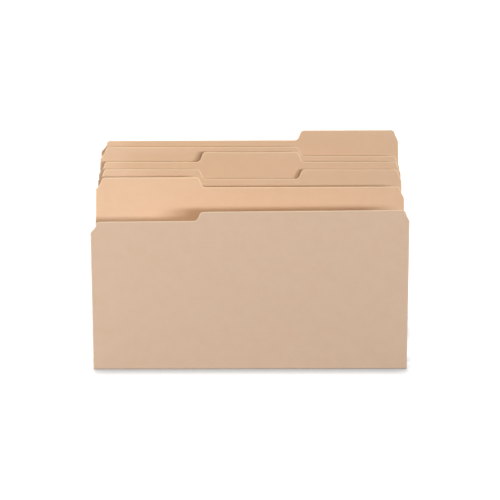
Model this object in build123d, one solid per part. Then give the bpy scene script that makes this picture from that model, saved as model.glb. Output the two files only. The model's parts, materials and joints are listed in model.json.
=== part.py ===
from build123d import *
import os

# A set of three manila file folders, standing open one behind the other, with tabs cut left, centre and
# right. Each folder is one scored sheet of card with three panels: a base strip that lies on the table,
# and a front and a back flap that turn about the score lines along the base's two long edges.
# Millimetres. +X to the right, +Y from the front folder to the rear one, +Z up. The origin is on the
# table, in the middle of the set's footprint.

# Sheet of card, with heights measured up each flap from its score line
card_thickness = 0.28
sheet_width = 374.65
base_width = 19.05
front_height = 212.7
back_height = 219.1

# Tabs share the sheet's width, with the left one a little longer than a third. Each share is where one tab's
# place ends and the next begins. The front flap is cut away in front of its folder's tab.
tab_edge_shares = [0.34, 2 / 3]
tab_rise = 12.7
cut_drop = 12.0
flank_run = 5.2
flank_foot_radius = 5.0
flank_top_radius = 5.0

# Upper corners: a rounded top, a steep side down to the break, then a slope out to the sheet's edge
shoulder_drop = 14.5
shoulder_break = 7.0
left_shoulder_inset = 6.0
right_shoulder_inset = 3.4
left_shoulder_slant = 1.6
right_shoulder_slant = 2.4
shoulder_break_radius = 8.0
corner_radius = 4.2

# Creases: a flap starts this far from the round edge of the base, which is centred on the score line
crease_clearance = 0.12

# Expansion scores pressed into the upper face of the base
score_pitch = 6.35
score_width = 0.6
score_depth = 0.08

# Open table between one folder's rear score line and the next folder's front one
middle_folder_gap = 88.5
rear_folder_gap = 66.8

# Lean of each flap from upright, in degrees, positive to the rear
front_folder_front_lean = -10.9
front_folder_back_lean = 31.4
middle_folder_front_lean = 29.5
middle_folder_back_lean = 32.0
rear_folder_front_lean = 25.0
rear_folder_back_lean = 30.5

# Places that follow from the sizes above
middle_folder_start = base_width + middle_folder_gap
rear_folder_start = middle_folder_start + base_width + rear_folder_gap
flap_start = card_thickness / 2 + crease_clearance

# Each folder: name, which third its tab is in, front score line's place, front lean, back lean
folders = [
    ("front_folder", 0, 0, front_folder_front_lean, front_folder_back_lean),
    ("middle_folder", 1, middle_folder_start, middle_folder_front_lean, middle_folder_back_lean),
    ("rear_folder", 2, rear_folder_start, rear_folder_front_lean, rear_folder_back_lean),
]


def top_edge_levels(height, tab_place, step):
    """Height of the top edge in each tab place, with the step added in the folder's own place."""
    tab_count = len(tab_edge_shares) + 1
    return [height + step if place == tab_place else height for place in range(tab_count)]


def flap_outline(levels):
    """Closed outline of a flap that lies flat, from its score line up to its stepped top edge."""
    half = sheet_width / 2
    left_side = -half + left_shoulder_inset
    right_side = half - right_shoulder_inset
    corners = [
        ((-half, flap_start), 0),
        ((-half, levels[0] - shoulder_drop), 0),
        ((left_side, levels[0] - shoulder_break), shoulder_break_radius),
        ((left_side + left_shoulder_slant, levels[0]), corner_radius),
    ]
    for share, here, there in zip(tab_edge_shares, levels, levels[1:]):
        if here == there:
            continue
        middle = -half + sheet_width * share
        radii = (flank_foot_radius, flank_top_radius) if there > here else (flank_top_radius, flank_foot_radius)
        corners.append(((middle - flank_run / 2, here), radii[0]))
        corners.append(((middle + flank_run / 2, there), radii[1]))
    corners += [
        ((right_side - right_shoulder_slant, levels[-1]), corner_radius),
        ((right_side, levels[-1] - shoulder_break), shoulder_break_radius),
        ((half, levels[-1] - shoulder_drop), 0),
        ((half, flap_start), 0),
    ]
    points = [point for point, radius in corners]
    radii = [radius for point, radius in corners]
    return make_face(FilletPolyline(*points, radius=radii, close=True))


def flap(levels, score_place, lean):
    """Flap of card with its middle plane through the score line, standing at its lean."""
    sheet = extrude(flap_outline(levels), amount=card_thickness / 2, both=True)
    return Pos(0, score_place, card_thickness / 2) * Rot(90 - lean, 0, 0) * sheet


def base_strip(front_score_place):
    """Strip that the folder stands on, with round creased edges and expansion scores on top."""
    section = Plane.YZ * SlotCenterToCenter(base_width, card_thickness)
    strip = Pos(0, base_width / 2, card_thickness / 2) * extrude(section, amount=sheet_width / 2, both=True)
    groove_section = Plane.YZ * Polygon(
        (-score_width / 2, 0), (score_width / 2, 0), (0, -score_depth), align=None
    )
    groove = Pos(0, 0, card_thickness) * extrude(groove_section, amount=sheet_width / 2, both=True)
    score_count = round(base_width / score_pitch) - 1
    for number in range(1, score_count + 1):
        strip -= Pos(0, number * score_pitch, 0) * groove
    return Pos(0, front_score_place, 0) * strip


panels = {}
for folder, tab_place, start, front_lean, back_lean in folders:
    front_levels = top_edge_levels(front_height, tab_place, -cut_drop)
    back_levels = top_edge_levels(back_height, tab_place, tab_rise)
    panels[f"{folder}_base"] = base_strip(start)
    panels[f"{folder}_front_flap"] = flap(front_levels, start, front_lean)
    panels[f"{folder}_back_flap"] = flap(back_levels, start + base_width, back_lean)

footprint = Compound(list(panels.values())).bounding_box()
footprint_middle = (footprint.min.Y + footprint.max.Y) / 2

os.makedirs("parts", exist_ok=True)
for name, panel in panels.items():
    placed = Pos(0, -footprint_middle, 0) * panel
    placed.label = name
    export_step(placed, f"parts/{name}.step")
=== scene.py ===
"""Manila file folder set: three scored sheets of card that stand open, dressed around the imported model."""

import json
import math

import bmesh
import bpy
from bpy.props import FloatProperty, FloatVectorProperty, PointerProperty
from mathutils import Matrix, Vector


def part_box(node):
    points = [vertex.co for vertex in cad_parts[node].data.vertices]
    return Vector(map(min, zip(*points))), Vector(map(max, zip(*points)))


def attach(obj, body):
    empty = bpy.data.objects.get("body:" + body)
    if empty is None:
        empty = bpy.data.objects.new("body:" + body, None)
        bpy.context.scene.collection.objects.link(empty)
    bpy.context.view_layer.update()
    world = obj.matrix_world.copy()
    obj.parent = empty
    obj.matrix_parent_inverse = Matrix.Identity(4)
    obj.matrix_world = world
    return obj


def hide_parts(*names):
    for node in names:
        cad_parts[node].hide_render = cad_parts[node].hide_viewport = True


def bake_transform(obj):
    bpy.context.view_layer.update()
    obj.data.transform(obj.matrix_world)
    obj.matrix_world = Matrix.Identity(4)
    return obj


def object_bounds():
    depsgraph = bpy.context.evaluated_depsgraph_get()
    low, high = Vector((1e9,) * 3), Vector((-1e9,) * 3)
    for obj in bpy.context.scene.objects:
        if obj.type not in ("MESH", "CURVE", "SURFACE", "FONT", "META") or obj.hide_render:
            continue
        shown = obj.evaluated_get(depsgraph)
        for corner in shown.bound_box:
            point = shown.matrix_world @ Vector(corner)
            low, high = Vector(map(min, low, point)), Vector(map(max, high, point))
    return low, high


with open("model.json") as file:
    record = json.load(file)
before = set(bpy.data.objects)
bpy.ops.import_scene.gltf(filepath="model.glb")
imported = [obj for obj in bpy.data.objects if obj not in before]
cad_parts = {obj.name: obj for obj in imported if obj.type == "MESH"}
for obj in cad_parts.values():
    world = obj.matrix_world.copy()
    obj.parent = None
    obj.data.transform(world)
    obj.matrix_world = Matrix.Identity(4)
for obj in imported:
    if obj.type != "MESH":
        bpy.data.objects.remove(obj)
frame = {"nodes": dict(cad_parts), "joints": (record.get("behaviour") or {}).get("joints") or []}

bl_info = {
    "name": "Manila Folder Set",
    "version": (1, 0, 0),
    "blender": (4, 5, 0),
    "location": "View3D > Sidebar > Folders",
    "description": "Builds three third-cut manila folders with creased flaps and scored bases",
    "category": "Add Mesh",
}

MM = 0.001
CAD_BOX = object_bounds()
FOLDERS = ("front_folder", "middle_folder", "rear_folder")
# Where along the sheet's width one tab's place ends and the next begins
TAB_EDGE_SHARES = (0.34, 2 / 3)
ACROSS = Vector((1, 0, 0))
PLACE_ATTRIBUTE = "sheet_place"
# Paler border along the cuts: partly rubbed wear, partly a painted highlight of the light a cut's shoulder
# catches
WEAR_AND_HIGHLIGHT_ATTRIBUTE = "edge_wear_and_highlight"
# Folders and faces lie this far apart in the patterns' space, so no two show the same fibres
PATTERN_STEP = 1.0
FACE_STEP = 0.2
# Mesh rows across a crease, and steps around a rounded corner
CREASE_ROWS = 11
CORNER_STEPS = 8
# Run over which a sheet's slope is taken, and how near a point counts as on a cut
SLOPE_RUN = 0.1 * MM
ON_CUT = 0.0001 * MM
# Card turns a crisp edge from this angle on
SHARP_ANGLE = math.radians(40)
# How a sag and a corner's curl grow with the height up a flap: the curl sets in lower down
SAG_POWER = 2
CURL_POWER = 1.5
# Patterns of the card: clouds and fibres in its face, finer dark flecks, and torn fibre ends in its edge
CLOUD_SIZE = 14 * MM
FIBRE_LENGTH = 6 * MM
FIBRE_WIDTH = 0.7 * MM
FIBRE_RELIEF = 0.03 * MM
FLECK_FINENESS = 2.3
TORN_LENGTH = 1.5 * MM
TORN_RELIEF = 0.05 * MM
CELLULOSE_IOR = 1.47
# Grain of the floor's board, and how many rays look for the card above it
BOARD_GRAIN = 3 * MM
BOARD_RELIEF = 0.05 * MM
SHADOW_RAYS = 16
WHITE = (1, 1, 1, 1)


def linear(hex_colour):
    """Linear colour of an sRGB hex value."""
    channels = [int(hex_colour[place:place + 2], 16) / 255 for place in (1, 3, 5)]
    return [c / 12.92 if c <= 0.04045 else ((c + 0.055) / 1.055) ** 2.4 for c in channels]


def length(name, description, millimetres):
    """Property that holds a length, given in millimetres."""
    return FloatProperty(
        name=name, description=description, default=millimetres * MM, unit="LENGTH", precision=5
    )


def colour(name, description, hex_colour):
    """Property that holds a colour, given as an sRGB hex value."""
    return FloatVectorProperty(
        name=name, description=description, default=linear(hex_colour), subtype="COLOR", min=0, max=1
    )


def lengths(name, description, millimetres):
    """Property that holds several lengths, given in millimetres."""
    return FloatVectorProperty(
        name=name, description=description, size=len(millimetres), unit="LENGTH",
        default=[value * MM for value in millimetres],
    )


def power(name, description, watts):
    """Property that holds a lamp's power."""
    return FloatProperty(name=name, description=description, default=watts, unit="POWER")


class FolderSheetSizes(bpy.types.PropertyGroup):
    """Die-cut outline, creases and lie of the sheets."""

    tab_rise: length("Tab rise", "How far a tab stands above its back flap", 12.7)
    cut_drop: length("Cut drop", "How far a front flap is cut away in front of its tab", 12.0)
    flank_run: length("Flank run", "Width over which a tab or cut slopes", 5.2)
    flank_foot_radius: length("Flank foot radius", "Inner round at the foot of a flank", 5.0)
    flank_top_radius: length("Flank top radius", "Outer round at the top of a flank", 5.0)
    shoulder_drop: length("Shoulder drop", "Height of the cut at an upper corner", 14.5)
    shoulder_break: length("Shoulder break", "Where that cut turns from steep to sloping", 7.0)
    left_shoulder_inset: length("Left shoulder inset", "How far in the left cut's break lies", 6.0)
    right_shoulder_inset: length("Right shoulder inset", "How far in the right cut's break lies", 3.4)
    left_shoulder_slant: length("Left shoulder slant", "Lean of the left cut's steep side", 1.6)
    right_shoulder_slant: length("Right shoulder slant", "Lean of the right cut's steep side", 2.4)
    shoulder_break_radius: length("Shoulder break radius", "Hollow round at the break", 8.0)
    corner_radius: length("Corner radius", "Outer round of an upper corner", 4.2)
    crease_reach: length("Crease reach", "How far a crease rounds the card on each side of its score", 1.2)
    crease_margin: length("Crease margin", "First row of the mesh above a crease", 3.0)
    seam_inset: length("Seam inset", "Where a flap's card passes to the base, from the score", 2.0)
    # Width of the pale border along the cuts, which is rubbed wear and a painted highlight
    worn_and_highlit_edge: length("Worn edge", "Width of the rubbed border along a cut edge", 1.4)
    mesh_step: length("Mesh step", "Spacing of the mesh on a flap", 8.0)
    score_pitch: length("Score pitch", "Spacing of the expansion scores on a base", 6.35)
    score_width: length("Score width", "Width of an expansion score", 0.6)
    score_depth: length("Score depth", "Depth of an expansion score", 0.08)
    # One length for each flap: front folder first, and in each folder the front flap first
    sag: lengths("Sag", "How far each top bends back", (0.0, 1.2, 0.8, 1.0, 0.6, 0.0))
    left_curl: lengths("Left curl", "How far each top left bends back", (0.0, 3.5, -1.0, 0.4, 2.0, 0.0))
    right_curl: lengths("Right curl", "How far each top right bends back", (6.0, 0.0, 3.0, 2.0, 0.0, -2.4))


class FolderColours(bpy.types.PropertyGroup):
    """Colours of the card and the stage."""

    card: colour("Card", "Calendered face of the card", "#E0C3AB")
    card_cloud: colour("Card cloud", "Denser clouds in the card", "#DBBBA0")
    fibre: colour("Fibre", "Long fibres that lie in the face", "#E3C8B0")
    fleck: colour("Fleck", "Stray dark fibres", "#C09A79")
    # Also the colour of the painted highlight along the cut edges
    cut_core_and_highlight: colour("Cut edge", "Open core of the card along a cut", "#F8E2C8")
    floor: colour("Floor", "Matt pale sweep", "#A9B2C0")
    room: colour("Room", "Even light of the room", "#FFE6D6")
    key_light: colour("Key light", "Strip softbox in front", "#FAFCFA")
    side_light: colour("Side light", "Low strip softbox at the left", "#E6ECFC")
    fill_light: colour("Fill light", "Softbox up on the left", "#FFEECC")
    rear_light: colour("Rear light", "Softbox behind", "#FFEFE4")


class FolderStage(bpy.types.PropertyGroup):
    """Camera and light."""

    camera_distance: length("Camera distance", "From the camera to the point it faces", 4500)
    camera_aim: length("Camera aim", "Height of that point above the front score", 149.7)
    camera_pitch: FloatProperty(
        name="Camera pitch", description="How far the camera looks down",
        default=math.radians(18.2), subtype="ANGLE",
    )
    camera_roll: FloatProperty(
        name="Camera roll", description="Tilt of the camera about its own axis",
        default=math.radians(-0.1), subtype="ANGLE",
    )
    camera_lens: FloatProperty(
        name="Camera lens", description="Focal length on a 36 mm sensor",
        default=273.5, unit="CAMERA",
    )
    floor_size: length("Floor size", "Side of the square sweep", 9000)
    room_light: FloatProperty(
        name="Room light", description="Strength of the even room light", default=0.06
    )
    # Shadow painted into the floor's glow at the card's foot: how far it spreads and how dark it is
    shadow_reach: length("Shadow reach", "How far the shadow at the card's foot spreads", 27)
    shadow_depth: FloatProperty(
        name="Shadow depth", description="How dark the shadow at the card's foot is", default=1.8
    )
    floor_lift: FloatProperty(
        name="Floor lift", description="Glow that keeps the open floor white for the camera", default=0.88
    )
    front_power: power("Front power", "Strip softbox in front, just below the camera's line of sight", 342)
    front_size: lengths("Front size", "Its width and height", (2000, 260))
    front_place: lengths("Front place", "Where it hangs", (1350, -7500, 2330))
    left_power: power("Left power", "Low strip softbox near on the left", 4.8)
    left_size: lengths("Left size", "Its width and height", (900, 250))
    left_place: lengths("Left place", "Where it stands", (-1100, -1400, 160))
    top_power: power("Top power", "Softbox up on the left", 12.2)
    top_size: lengths("Top size", "Its width and height", (1000, 700))
    top_place: lengths("Top place", "Where it hangs", (-900, -700, 1400))
    rear_power: power("Rear power", "Wide softbox behind", 96)
    rear_size: lengths("Rear size", "Its width and height", (1600, 1000))
    rear_place: lengths("Rear place", "Where it hangs", (-300, 2200, 2100))


def add_node(tree, kind, inputs=None, **settings):
    """Adds a node, sets its own settings, and sets or links its inputs."""
    made = tree.nodes.new(kind)
    for name, value in settings.items():
        setattr(made, name, value)
    for socket, value in (inputs or {}).items():
        if isinstance(value, bpy.types.NodeSocket):
            tree.links.new(value, made.inputs[socket])
        else:
            made.inputs[socket].default_value = value
    return made


def new_material(name):
    """Empty node material and its output node."""
    material = bpy.data.materials.new(name)
    material.use_nodes = True
    material.node_tree.nodes.clear()
    return material, material.node_tree, add_node(material.node_tree, "ShaderNodeOutputMaterial")


def opaque(rgb):
    """Colour with full alpha."""
    return (*rgb, 1)


def calendered_card(colours):
    """Face of manila card, pressed between smooth rollers: matt, faintly cloudy, with long pale fibres,
    a few dark ones, and a paler border where the die cut it: rubbed wear and a painted edge highlight."""
    name = "manila_card_calendered"
    if name in bpy.data.materials:
        return bpy.data.materials[name]
    material, tree, output = new_material(name)
    place = add_node(tree, "ShaderNodeAttribute", attribute_name=PLACE_ATTRIBUTE).outputs["Vector"]
    wear_and_highlight = add_node(tree, "ShaderNodeAttribute", attribute_name=WEAR_AND_HIGHLIGHT_ATTRIBUTE).outputs["Fac"]

    # Pulp settles in soft clouds
    cloud = add_node(
        tree, "ShaderNodeTexNoise",
        {"Vector": place, "Scale": 1 / CLOUD_SIZE, "Detail": 3, "Roughness": 0.55},
    )
    cloudy = add_node(
        tree, "ShaderNodeMix",
        {"Factor": cloud.outputs["Fac"], "A": opaque(colours.card), "B": opaque(colours.card_cloud)},
        data_type="RGBA",
    )
    # Real fibres are about 0.03 mm wide and 2 mm long, and are drawn coarser so that they show
    along = add_node(
        tree, "ShaderNodeMapping", {"Vector": place, "Scale": (1 / FIBRE_LENGTH, 1 / FIBRE_WIDTH, 1)}
    )
    fibres = add_node(
        tree, "ShaderNodeTexNoise",
        {"Vector": along.outputs["Vector"], "Scale": 1, "Detail": 2, "Distortion": 0.6},
    )
    fibre_share = add_node(
        tree, "ShaderNodeMapRange",
        {"Value": fibres.outputs["Fac"], "From Min": 0.5, "From Max": 0.8, "To Max": 0.5},
    )
    fibrous = add_node(
        tree, "ShaderNodeMix",
        {
            "Factor": fibre_share.outputs["Result"],
            "A": cloudy.outputs["Result"], "B": opaque(colours.fibre),
        },
        data_type="RGBA",
    )
    # Stray dark fibres show as small flecks, drawn coarser than real but finer than the pale ones
    flecks = add_node(
        tree, "ShaderNodeTexNoise",
        {"Vector": along.outputs["Vector"], "Scale": FLECK_FINENESS, "Detail": 1, "Distortion": 1.2},
    )
    fleck_share = add_node(
        tree, "ShaderNodeMapRange",
        {"Value": flecks.outputs["Fac"], "From Min": 0.72, "From Max": 0.8, "To Max": 0.35},
    )
    flecked = add_node(
        tree, "ShaderNodeMix",
        {
            "Factor": fleck_share.outputs["Result"],
            "A": fibrous.outputs["Result"], "B": opaque(colours.fleck),
        },
        data_type="RGBA",
    )
    # Paler border along the cuts: rubbed wear, and a painted highlight of the light the cut's shoulder
    # catches
    rubbed_and_highlit = add_node(
        tree, "ShaderNodeMix",
        {"Factor": wear_and_highlight, "A": flecked.outputs["Result"], "B": opaque(colours.cut_core_and_highlight)},
        data_type="RGBA",
    )
    roughness = add_node(
        tree, "ShaderNodeMapRange", {"Value": fibres.outputs["Fac"], "To Min": 0.68, "To Max": 0.86}
    )
    # Calendered fibres stand barely proud
    bump = add_node(
        tree, "ShaderNodeBump",
        {"Height": fibres.outputs["Fac"], "Strength": 0.25, "Distance": FIBRE_RELIEF},
    )
    shader = add_node(
        tree, "ShaderNodeBsdfPrincipled",
        {
            "Base Color": rubbed_and_highlit.outputs["Result"], "Roughness": roughness.outputs["Result"],
            "Normal": bump.outputs["Normal"], "IOR": CELLULOSE_IOR, "Specular IOR Level": 0.3,
        },
    )
    tree.links.new(shader.outputs["BSDF"], output.inputs["Surface"])
    return material


def cut_core(colours):
    """Edge of the card, sheared by a die: its open core shows, paler and rougher than the face."""
    name = "manila_card_die_cut"
    if name in bpy.data.materials:
        return bpy.data.materials[name]
    material, tree, output = new_material(name)
    place = add_node(tree, "ShaderNodeAttribute", attribute_name=PLACE_ATTRIBUTE).outputs["Vector"]
    # Torn fibre ends mottle the cut, drawn coarser than real so that they show
    torn = add_node(tree, "ShaderNodeTexNoise", {"Vector": place, "Scale": 1 / TORN_LENGTH, "Detail": 3})
    core = add_node(
        tree, "ShaderNodeMix",
        {"Factor": torn.outputs["Fac"], "A": opaque(colours.cut_core_and_highlight), "B": opaque(colours.card)},
        data_type="RGBA",
    )
    bump = add_node(
        tree, "ShaderNodeBump", {"Height": torn.outputs["Fac"], "Strength": 0.4, "Distance": TORN_RELIEF}
    )
    shader = add_node(
        tree, "ShaderNodeBsdfPrincipled",
        {
            "Base Color": core.outputs["Result"], "Normal": bump.outputs["Normal"], "Roughness": 0.92,
            "IOR": CELLULOSE_IOR, "Specular IOR Level": 0.15,
        },
    )
    tree.links.new(shader.outputs["BSDF"], output.inputs["Surface"])
    return material


def score_line(folder, side):
    """Point on the score line between a folder's base and its front or back flap."""
    name = f"{folder}_{side}_crease"
    return Vector(next(joint["pos_m"] for joint in frame["joints"] if joint["name"] == name))


def sheet_size():
    """Half width and thickness of the card, from a base strip."""
    low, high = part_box(f"{FOLDERS[0]}_base")
    return (high.x - low.x) / 2, high.z - low.z


def base_width(folder):
    """Distance between a folder's two score lines."""
    return (score_line(folder, "back") - score_line(folder, "front")).length


def rise_of(node, score):
    """Direction up a flap's middle plane, and the height of its highest point along it."""
    mesh = frame["nodes"][node].data
    face = max(mesh.polygons, key=lambda polygon: polygon.area)
    up = ACROSS.cross(face.normal)
    up *= math.copysign(1, up.z)
    return up, max((vertex.co - score).dot(up) for vertex in mesh.vertices)


def rounded(corners):
    """Points of a closed outline whose corners (x, y, radius) are rounded by arcs."""
    points = []
    for place, (x, y, radius) in enumerate(corners):
        corner = Vector((x, y))
        if not radius:
            points.append(corner)
            continue
        before = (Vector(corners[place - 1][:2]) - corner).normalized()
        after = (Vector(corners[(place + 1) % len(corners)][:2]) - corner).normalized()
        half = before.angle(after) / 2
        centre = corner + (before + after).normalized() * radius / math.sin(half)
        first = corner + before * radius / math.tan(half) - centre
        last = corner + after * radius / math.tan(half) - centre
        turn = -first.angle_signed(last) / CORNER_STEPS
        points += [centre + Matrix.Rotation(turn * step, 2) @ first for step in range(CORNER_STEPS + 1)]
    return points


def flap_outline(sizes, levels, half, foot):
    """Outline of a flap that lies flat, from its foot up to its stepped top edge."""
    left_side = -half + sizes.left_shoulder_inset
    right_side = half - sizes.right_shoulder_inset
    corners = [
        (-half, foot, 0),
        (-half, levels[0] - sizes.shoulder_drop, 0),
        (left_side, levels[0] - sizes.shoulder_break, sizes.shoulder_break_radius),
        (left_side + sizes.left_shoulder_slant, levels[0], sizes.corner_radius),
    ]
    for share, here, there in zip(TAB_EDGE_SHARES, levels, levels[1:]):
        if here == there:
            continue
        middle = -half + 2 * half * share
        radii = [sizes.flank_top_radius, sizes.flank_foot_radius]
        if there > here:
            radii.reverse()
        corners.append((middle - sizes.flank_run / 2, here, radii[0]))
        corners.append((middle + sizes.flank_run / 2, there, radii[1]))
    corners += [
        (right_side - sizes.right_shoulder_slant, levels[-1], sizes.corner_radius),
        (right_side, levels[-1] - sizes.shoulder_break, sizes.shoulder_break_radius),
        (half, levels[-1] - sizes.shoulder_drop, 0),
        (half, foot, 0),
    ]
    return rounded(corners)


def spaced(first, last, step):
    """Places from first to last, both left out, at most a step apart."""
    count = math.ceil((last - first) / step)
    return [first + (last - first) * number / count for number in range(1, count)]


def flat_card(outline, columns, rows, wear_and_highlight_width, is_worn_and_highlit):
    """Flat mesh inside an outline, cut along columns and rows, with a border that holds the edge wear and
    the painted edge highlight.
    """
    flat = bmesh.new()
    wear_and_highlight = flat.verts.layers.float.new(WEAR_AND_HIGHLIGHT_ATTRIBUTE)
    rim = [flat.verts.new((x, y, 0)) for x, y in outline]
    face = flat.faces.new(rim)
    face.normal_update()
    bmesh.ops.inset_region(
        flat, faces=[face], thickness=wear_and_highlight_width, use_even_offset=True, use_boundary=True
    )
    for vertex in flat.verts:
        vertex[wear_and_highlight] = 0
    for vertex in rim:
        vertex[wear_and_highlight] = float(is_worn_and_highlit(vertex.co))
    cuts = [((x, 0, 0), (1, 0, 0)) for x in columns] + [((0, y, 0), (0, 1, 0)) for y in rows]
    for point, normal in cuts:
        everything = [*flat.verts, *flat.edges, *flat.faces]
        bmesh.ops.bisect_plane(flat, geom=everything, dist=ON_CUT, plane_co=point, plane_no=normal)
    return flat, wear_and_highlight


def card_piece(name, flat, wear_and_highlight, place, sheet_place, colours):
    """Mesh object of card from a flat mesh. place gives the inner and the outer face's point for a flat
    one, and sheet_place gives a flat point's place on the uncreased sheet."""
    flat.verts.index_update()
    count = len(flat.verts)
    layers = [place(vertex.co.x, vertex.co.y) for vertex in flat.verts]
    points = [inner for inner, outer in layers] + [outer for inner, outer in layers]
    inner_faces = [[vertex.index for vertex in face.verts] for face in flat.faces]
    outer_faces = [[index + count for index in reversed(face)] for face in inner_faces]
    walls = []
    for edge in flat.edges:
        if edge.is_boundary:
            loop = edge.link_loops[0]
            start, end = loop.vert.index, loop.link_loop_next.vert.index
            walls.append([end, start, start + count, end + count])
    mesh = bpy.data.meshes.new(name)
    mesh.from_pydata(points, [], inner_faces + outer_faces + walls)
    mesh.materials.append(calendered_card(colours))
    mesh.materials.append(cut_core(colours))
    face_count = len(inner_faces) + len(outer_faces)
    mesh.polygons.foreach_set("material_index", [0] * face_count + [1] * len(walls))
    places = [sheet_place(vertex.co.x, vertex.co.y) for vertex in flat.verts]
    both = [(x, y, depth) for depth in (0, FACE_STEP) for x, y in places]
    stored = mesh.attributes.new(PLACE_ATTRIBUTE, "FLOAT_VECTOR", "POINT")
    stored.data.foreach_set("vector", [value for point in both for value in point])
    # Edge wear and painted edge highlight, for the card's material
    stored = mesh.attributes.new(WEAR_AND_HIGHLIGHT_ATTRIBUTE, "FLOAT", "POINT")
    stored.data.foreach_set("value", [vertex[wear_and_highlight] for vertex in flat.verts] * 2)
    flat.free()
    mesh.shade_smooth()
    mesh.set_sharp_from_angle(angle=SHARP_ANGLE)
    mesh.validate()
    piece = bpy.data.objects.new(name, mesh)
    bpy.context.scene.collection.objects.link(piece)
    return piece


def build_flap(folder, side, sizes, colours):
    """One flap with its crease, rounded between the base and the flap."""
    number = FOLDERS.index(folder)
    node = f"{folder}_{side}_flap"
    half, thickness = sheet_size()
    score = score_line(folder, side)
    other = score_line(folder, "back" if side == "front" else "front")
    inward = (other - score).normalized()
    up, top = rise_of(node, score)
    is_back = side == "back"
    body_level = top - sizes.tab_rise if is_back else top
    tab_level = top if is_back else top - sizes.cut_drop
    levels = [tab_level if place == number else body_level for place in range(len(FOLDERS))]
    foot = -sizes.seam_inset
    reach = sizes.crease_reach
    back = up.cross(ACROSS)
    # This flap's place in the lists of bends
    lie = 2 * number + int(is_back)

    outline = flap_outline(sizes, levels, half, foot)
    if is_back:
        # A back flap's inner face looks forward, so its outline runs the other way round
        outline.reverse()
    rows = [reach * (2 * row / (CREASE_ROWS - 1) - 1) for row in range(CREASE_ROWS)]
    rows += [sizes.crease_margin, *spaced(sizes.crease_margin, top, sizes.mesh_step)]
    columns = spaced(-half, half, sizes.mesh_step)
    flat, wear_and_highlight = flat_card(outline, columns, rows, sizes.worn_and_highlit_edge, lambda co: co.y > foot + reach)

    def middle(x, y):
        """Point of the card's middle plane, with the crease rounded and the flap bent to its lie."""
        if y <= -reach:
            return score + inward * -y + ACROSS * x
        if y < reach:
            share = (y + reach) / (2 * reach)
            return score + inward * reach * (1 - share) ** 2 + up * reach * share ** 2 + ACROSS * x
        height = (y - reach) / (top - reach)
        right = (x + half) / (2 * half)
        corner = sizes.left_curl[lie] * (1 - right) + sizes.right_curl[lie] * right
        bend = sizes.sag[lie] * height ** SAG_POWER + corner * height ** CURL_POWER
        return score + up * y + back * bend + ACROSS * x

    def place(x, y):
        """Points of the two faces on either side of the middle plane."""
        here = middle(x, y)
        run = middle(x, y + SLOPE_RUN / 2) - middle(x, y - SLOPE_RUN / 2)
        to_inner = run.cross(ACROSS).normalized() * thickness / 2
        if is_back:
            to_inner = -to_inner
        return here + to_inner, here - to_inner

    def sheet_place(x, y):
        """Place on the flat sheet, measured from the middle of its base."""
        along = base_width(folder) / 2 + y
        return x + number * PATTERN_STEP, along if is_back else -along

    piece = card_piece(f"{node}_card", flat, wear_and_highlight, place, sheet_place, colours)
    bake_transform(piece)
    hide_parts(node)


def build_base(folder, sizes, colours):
    """Base strip between the two creases, with expansion scores pressed into its upper face."""
    number = FOLDERS.index(folder)
    node = f"{folder}_base"
    half, thickness = sheet_size()
    width = base_width(folder)
    score = score_line(folder, "front")
    rearward = (score_line(folder, "back") - score).normalized()
    first, last = sizes.seam_inset, width - sizes.seam_inset
    lines = [sizes.score_pitch * count for count in range(1, round(width / sizes.score_pitch))]
    groove = sizes.score_width / 2
    rows = [line + offset for line in lines for offset in (-groove, 0, groove)]
    outline = [Vector(point) for point in ((-half, last), (-half, first), (half, first), (half, last))]
    columns = spaced(-half, half, sizes.mesh_step)
    flat, wear_and_highlight = flat_card(outline, columns, rows, sizes.worn_and_highlit_edge, lambda co: False)

    def place(x, y):
        """Points of the upper face, sunk in the scores, and of the lower face."""
        here = score + rearward * y + ACROSS * x
        sunk = max(sizes.score_depth * (1 - abs(y - line) / groove) for line in lines)
        return here + Vector((0, 0, thickness / 2 - max(0, sunk))), here - Vector((0, 0, thickness / 2))

    def sheet_place(x, y):
        """Place on the flat sheet, measured from the middle of its base."""
        return x + number * PATTERN_STEP, y - width / 2

    piece = card_piece(f"{node}_card", flat, wear_and_highlight, place, sheet_place, colours)
    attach(piece, node)
    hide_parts(node)


class FOLDERS_OT_base_strips(bpy.types.Operator):
    """Build the scored strip that each folder stands on"""

    bl_idname = "folders.base_strips"
    bl_label = "Base strips"

    def execute(self, context):
        for folder in FOLDERS:
            build_base(folder, context.scene.folder_sheet, context.scene.folder_colours)
        return {"FINISHED"}


class FOLDERS_OT_front_flaps(bpy.types.Operator):
    """Build each folder's front flap, cut away in front of the tab"""

    bl_idname = "folders.front_flaps"
    bl_label = "Front flaps"

    def execute(self, context):
        for folder in FOLDERS:
            build_flap(folder, "front", context.scene.folder_sheet, context.scene.folder_colours)
        return {"FINISHED"}


class FOLDERS_OT_back_flaps(bpy.types.Operator):
    """Build each folder's back flap, with its tab"""

    bl_idname = "folders.back_flaps"
    bl_label = "Back flaps"

    def execute(self, context):
        for folder in FOLDERS:
            build_flap(folder, "back", context.scene.folder_sheet, context.scene.folder_colours)
        return {"FINISHED"}


def seen_share(tree):
    """Socket that is 1 for the camera and for what it sees in or through a surface, and 0 for light."""
    ray = add_node(tree, "ShaderNodeLightPath").outputs
    seen = ray["Is Camera Ray"]
    for kind in ("Is Glossy Ray", "Is Transmission Ray"):
        both = add_node(tree, "ShaderNodeMath", {0: seen, 1: ray[kind]}, operation="MAXIMUM")
        seen = both.outputs["Value"]
    return seen


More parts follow.
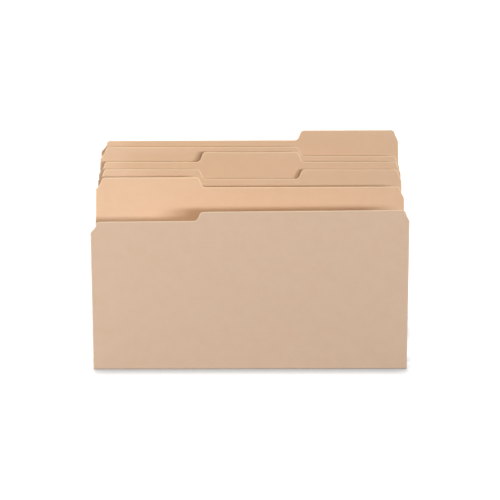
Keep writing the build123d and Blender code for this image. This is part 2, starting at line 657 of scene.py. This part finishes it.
def matt_sweep(colours, stage):
    """Sweep of matt pale board: even and white, with a soft shadow painted into its glow where the card
    stands.
    """
    material, tree, output = new_material("pale_board_matt")
    grain = add_node(tree, "ShaderNodeTexNoise", {"Scale": 1 / BOARD_GRAIN, "Detail": 2})
    bump = add_node(
        tree, "ShaderNodeBump",
        {"Height": grain.outputs["Fac"], "Strength": 0.05, "Distance": BOARD_RELIEF},
    )
    board = add_node(
        tree, "ShaderNodeBsdfDiffuse", {"Color": opaque(colours.floor), "Normal": bump.outputs["Normal"]}
    )
    # Painted shadow: ambient occlusion dims the glow where the card stands on the board
    near = add_node(
        tree, "ShaderNodeAmbientOcclusion", {"Distance": stage.shadow_reach}, samples=SHADOW_RAYS
    )
    open_share = add_node(
        tree, "ShaderNodeMath", {0: near.outputs["AO"], 1: stage.shadow_depth}, operation="POWER"
    )
    open_glow = add_node(
        tree, "ShaderNodeMath",
        {0: open_share.outputs["Value"], 1: stage.floor_lift}, operation="MULTIPLY",
    )
    glow = add_node(
        tree, "ShaderNodeMath",
        {0: seen_share(tree), 1: open_glow.outputs["Value"]}, operation="MULTIPLY",
    )
    lift = add_node(tree, "ShaderNodeEmission", {"Color": WHITE, "Strength": glow.outputs["Value"]})
    both = add_node(tree, "ShaderNodeAddShader", {0: board.outputs["BSDF"], 1: lift.outputs["Emission"]})
    tree.links.new(both.outputs["Shader"], output.inputs["Surface"])
    return material


def studio_world(colours, stage):
    """Even room light on the card, and plain white where the camera or a reflection looks past it."""
    world = bpy.data.worlds.new("studio_room")
    world.use_nodes = True
    tree = world.node_tree
    tree.nodes.clear()
    room = add_node(
        tree, "ShaderNodeBackground", {"Color": opaque(colours.room), "Strength": stage.room_light}
    )
    white = add_node(tree, "ShaderNodeBackground", {"Color": WHITE, "Strength": 1})
    mixed = add_node(
        tree, "ShaderNodeMixShader",
        {0: seen_share(tree), 1: room.outputs["Background"], 2: white.outputs["Background"]},
    )
    add_node(tree, "ShaderNodeOutputWorld", {"Surface": mixed.outputs["Shader"]})
    return world


def soft_lamp(name, watts, size, place, tint):
    """Softbox of a width and height that faces the middle of the folders."""
    lamp = bpy.data.lights.new(name, "AREA")
    lamp.energy = watts
    lamp.shape = "RECTANGLE"
    lamp.size, lamp.size_y = size
    lamp.color = tint
    aim = (CAD_BOX[0] + CAD_BOX[1]) / 2
    holder = bpy.data.objects.new(name, lamp)
    holder.location = place
    holder.rotation_mode = "QUATERNION"
    holder.rotation_quaternion = (aim - Vector(place)).to_track_quat("-Z", "Y")
    bpy.context.scene.collection.objects.link(holder)


class FOLDERS_OT_stage(bpy.types.Operator):
    """Lay the floor, hang the lamps and set the camera"""

    bl_idname = "folders.stage"
    bl_label = "Stage"

    def execute(self, context):
        scene = context.scene
        stage, colours = scene.folder_stage, scene.folder_colours
        scene.view_settings.view_transform = "Standard"

        side = stage.floor_size / 2
        mesh = bpy.data.meshes.new("studio_floor")
        corners = [(-side, -side, 0), (side, -side, 0), (side, side, 0), (-side, side, 0)]
        mesh.from_pydata(corners, [], [(0, 1, 2, 3)])
        mesh.materials.append(matt_sweep(colours, stage))
        floor = bpy.data.objects.new("studio_floor", mesh)
        scene.collection.objects.link(floor)

        scene.world = studio_world(colours, stage)
        soft_lamp("front_strip", stage.front_power, stage.front_size, stage.front_place, colours.key_light)
        soft_lamp("left_strip", stage.left_power, stage.left_size, stage.left_place, colours.side_light)
        soft_lamp("top_softbox", stage.top_power, stage.top_size, stage.top_place, colours.fill_light)
        soft_lamp("rear_softbox", stage.rear_power, stage.rear_size, stage.rear_place, colours.rear_light)

        camera = bpy.data.objects.new("camera", bpy.data.cameras.new("camera"))
        camera.data.lens = stage.camera_lens
        roll = Matrix.Rotation(stage.camera_roll, 4, "Z")
        turn = Matrix.Rotation(math.pi / 2 - stage.camera_pitch, 4, "X") @ roll
        aim = score_line(FOLDERS[0], "front") + Vector((0, 0, stage.camera_aim))
        back_off = turn @ Vector((0, 0, stage.camera_distance))
        camera.matrix_world = Matrix.Translation(aim + back_off) @ turn
        scene.collection.objects.link(camera)
        scene.camera = camera
        return {"FINISHED"}


class FOLDERS_PT_panel(bpy.types.Panel):
    """Sizes, colours and build steps of the folder set"""

    bl_idname = "FOLDERS_PT_panel"
    bl_label = "Manila Folder Set"
    bl_space_type = "VIEW_3D"
    bl_region_type = "UI"
    bl_category = "Folders"

    def draw(self, context):
        for operator in OPERATORS:
            self.layout.operator(operator.bl_idname)
        for scene_name in GROUPS:
            group = getattr(context.scene, scene_name)
            column = self.layout.column(align=True)
            for name in group.bl_rna.properties.keys():
                if name not in ("rna_type", "name"):
                    column.prop(group, name)


GROUPS = {"folder_sheet": FolderSheetSizes, "folder_colours": FolderColours, "folder_stage": FolderStage}
OPERATORS = (FOLDERS_OT_base_strips, FOLDERS_OT_front_flaps, FOLDERS_OT_back_flaps, FOLDERS_OT_stage)
CLASSES = (*GROUPS.values(), *OPERATORS, FOLDERS_PT_panel)


def register():
    """Adds the classes, and the property groups to every scene."""
    for item in CLASSES:
        bpy.utils.register_class(item)
    for name, group in GROUPS.items():
        setattr(bpy.types.Scene, name, PointerProperty(type=group))


def unregister():
    """Takes the property groups and the classes away."""
    for name in GROUPS:
        delattr(bpy.types.Scene, name)
    for item in reversed(CLASSES):
        bpy.utils.unregister_class(item)


def main():
    """Builds the folders and their stage."""
    register()
    bpy.ops.folders.base_strips()
    bpy.ops.folders.front_flaps()
    bpy.ops.folders.back_flaps()
    bpy.ops.folders.stage()


if __name__ == "__main__":
    main()
